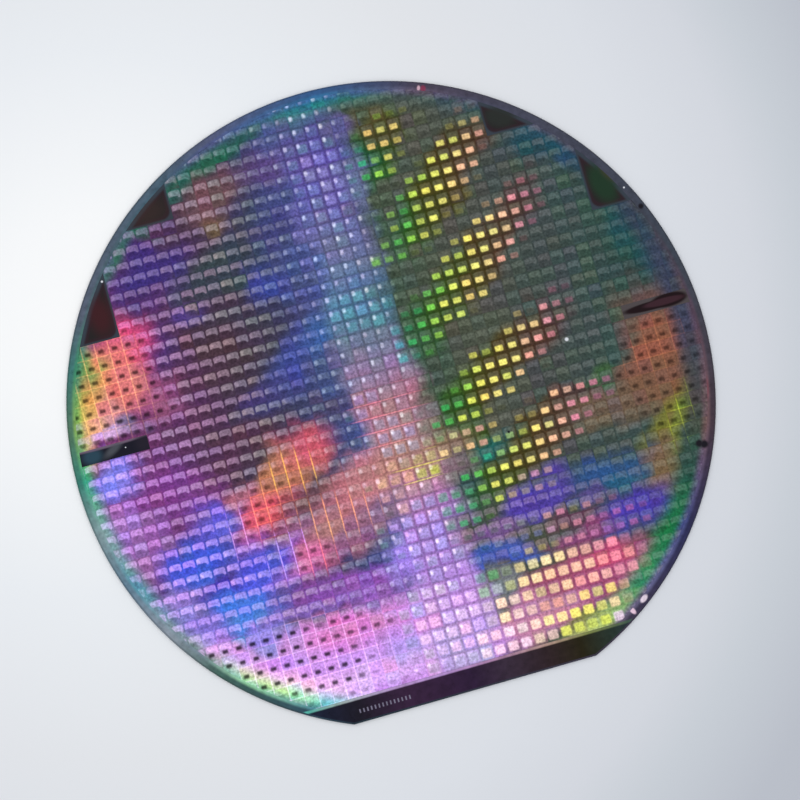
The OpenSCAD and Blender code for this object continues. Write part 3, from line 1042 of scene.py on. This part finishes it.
def ground_edge():
    """The ground and etched edge: satin dark silicon under the last of the oxide, whose colours
    carry a painted highlight at the lower left, with the grinding wheel's fine marks."""
    material, tree = new_material("ground_edge")
    place = millimetres(tree)
    # The etchant leaves it uneven over a little under a millimetre
    mottle = add(tree, "TexNoise", {"Vector": place, "Scale": 1 / 0.833, "Detail": 4.0})
    tones = {0: mottle, 6: linear("#2c2e36"), 7: linear("#44464e")}
    colour = add(tree, "Mix", tones, **COLOURS)
    across = add(tree, "SeparateXYZ", {0: place})
    # The oxide's colours, with their painted highlight at the lower left
    oxide = colour_along(tree, direction(tree, across), OUTER_TURN)
    colour = add(tree, "Mix", {0: EDGE_OXIDE_AND_HIGHLIGHT, 6: colour, 7: oxide}, **COLOURS)
    # The wheel's marks run round the edge and are finer than a hundredth of a millimetre. They
    # are drawn about 3.3 mm long and 0.05 mm high, so that they show
    marks = add(tree, "VectorMath", {0: place, 1: (3.33, 3.33, 0.05)}, operation="DIVIDE")
    marks = add(tree, "TexNoise", {"Vector": marks, "Scale": 1.0, "Detail": 2.0})
    normal = add(tree, "Bump", {"Height": marks, "Strength": 0.5, "Distance": 5e-6})
    rough = add(tree, "MapRange", {0: mottle, 3: 0.34, 4: 0.48})
    edge = {"Base Color": colour, "Metallic": 0.9, "Roughness": rough, "Normal": normal}
    finish_material(tree, edge)
    return material


def etched_back():
    """The acid-etched back: matt grey silicon with a soft mottle and shallow etch pits."""
    material, tree = new_material("etched_back")
    place = millimetres(tree)
    # The acid's mottle is a few millimetres wide
    mottle = add(tree, "TexNoise", {"Vector": place, "Scale": 1 / 4.0, "Detail": 5.0})
    tones = {0: mottle, 6: linear("#686a70"), 7: linear("#8e9096")}
    colour = add(tree, "Mix", tones, **COLOURS)
    # Real pits are a few hundredths of a millimetre wide. These are 0.4 mm, so that they show
    pits = add(tree, "TexVoronoi", {"Vector": place, "Scale": 1 / 0.4})
    normal = add(tree, "Bump", {"Height": pits, "Strength": 0.4, "Distance": 1e-5})
    rough = add(tree, "MapRange", {0: mottle, 3: 0.46, 4: 0.62})
    back = {"Base Color": colour, "Metallic": 0.85, "Roughness": rough, "Normal": normal}
    finish_material(tree, back)
    return material


def pale_floor():
    """Matt pale card, lit less and less away from one bright place."""
    material, tree = new_material("pale_card")
    away = {0: millimetres(tree), 1: FLOOR_BRIGHT}
    away = add(tree, "VectorMath", away, out="Value", operation="DISTANCE")
    colour = colour_along(tree, away, FLOOR_AWAY)
    card = {"Base Color": colour, "Roughness": 0.9, "Specular IOR Level": 0.1}
    finish_material(tree, card)
    return material


def make_wafer(materials):
    """The patterned wafer as one closed mesh."""
    bm = bmesh.new()
    printed_film(bm, bevelled_disc(bm))
    bm.normal_update()
    unrolled(bm)
    for face in bm.faces:
        face.smooth = face.material_index == GROUND_EDGE
    for edge in bm.edges:
        edge.smooth = edge.calc_face_angle(0) < SHARPEST_SMOOTH
    bmesh.ops.scale(bm, vec=(MM, MM, MM), verts=bm.verts)
    mesh = bpy.data.meshes.new("patterned_wafer")
    bm.to_mesh(mesh)
    bm.free()
    for material in materials:
        mesh.materials.append(material)
    wafer = bpy.data.objects.new("patterned_wafer", mesh)
    bpy.context.collection.objects.link(wafer)
    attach(wafer, "root")
    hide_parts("wafer")


# ---- Stage, lamp and camera ----

FLOOR_HALF_M = 2.0
LAMP_PLACE_M = (0.1, 0.15, 1.6)
LAMP_WIDTH_M = 1.5
LAMP_WATTS = 0.9
SKY_STRENGTH = 0.95
LENS = 97.2
CAMERA_PLACE_M = (-0.04015, -0.05022, 0.49441)
CAMERA_TURN = (6.779, -3.072, -15.707)
NEAREST_SEEN_M = 0.01


def make_floor():
    """A plain pale floor under the wafer."""
    bm = bmesh.new()
    bmesh.ops.create_grid(bm, x_segments=1, y_segments=1, size=FLOOR_HALF_M)
    mesh = bpy.data.meshes.new("floor")
    bm.to_mesh(mesh)
    bm.free()
    mesh.materials.append(pale_floor())
    floor = bpy.data.objects.new("floor", mesh)
    bpy.context.collection.objects.link(floor)


def make_lamp():
    """A large square soft lamp high over the wafer."""
    data = bpy.data.lights.new("overhead", "AREA")
    data.size = LAMP_WIDTH_M
    data.energy = LAMP_WATTS
    lamp = bpy.data.objects.new("overhead", data)
    lamp.location = LAMP_PLACE_M
    lamp.rotation_euler = (-Vector(LAMP_PLACE_M)).to_track_quat("-Z", "Y").to_euler()
    bpy.context.collection.objects.link(lamp)


def make_camera():
    """The camera looks almost straight down, turned a little to the right."""
    data = bpy.data.cameras.new("camera")
    data.lens = LENS
    data.clip_start = NEAREST_SEEN_M
    camera = bpy.data.objects.new("camera", data)
    camera.location = CAMERA_PLACE_M
    camera.rotation_euler = Euler([math.radians(angle) for angle in CAMERA_TURN])
    bpy.context.collection.objects.link(camera)
    bpy.context.scene.camera = camera


def light_world():
    """Even white light from all round."""
    world = bpy.data.worlds.new("studio")
    world.use_nodes = True
    sky = world.node_tree.nodes["Background"].inputs
    sky["Color"].default_value = (1, 1, 1, 1)
    sky["Strength"].default_value = SKY_STRENGTH
    bpy.context.scene.world = world


# ---- The scene ----

bpy.context.scene.view_settings.view_transform = "Standard"
light_world()
make_camera()
make_floor()
make_lamp()
make_wafer([device_film(), bare_silicon(), oxide_ring(), ground_edge(), etched_back()])
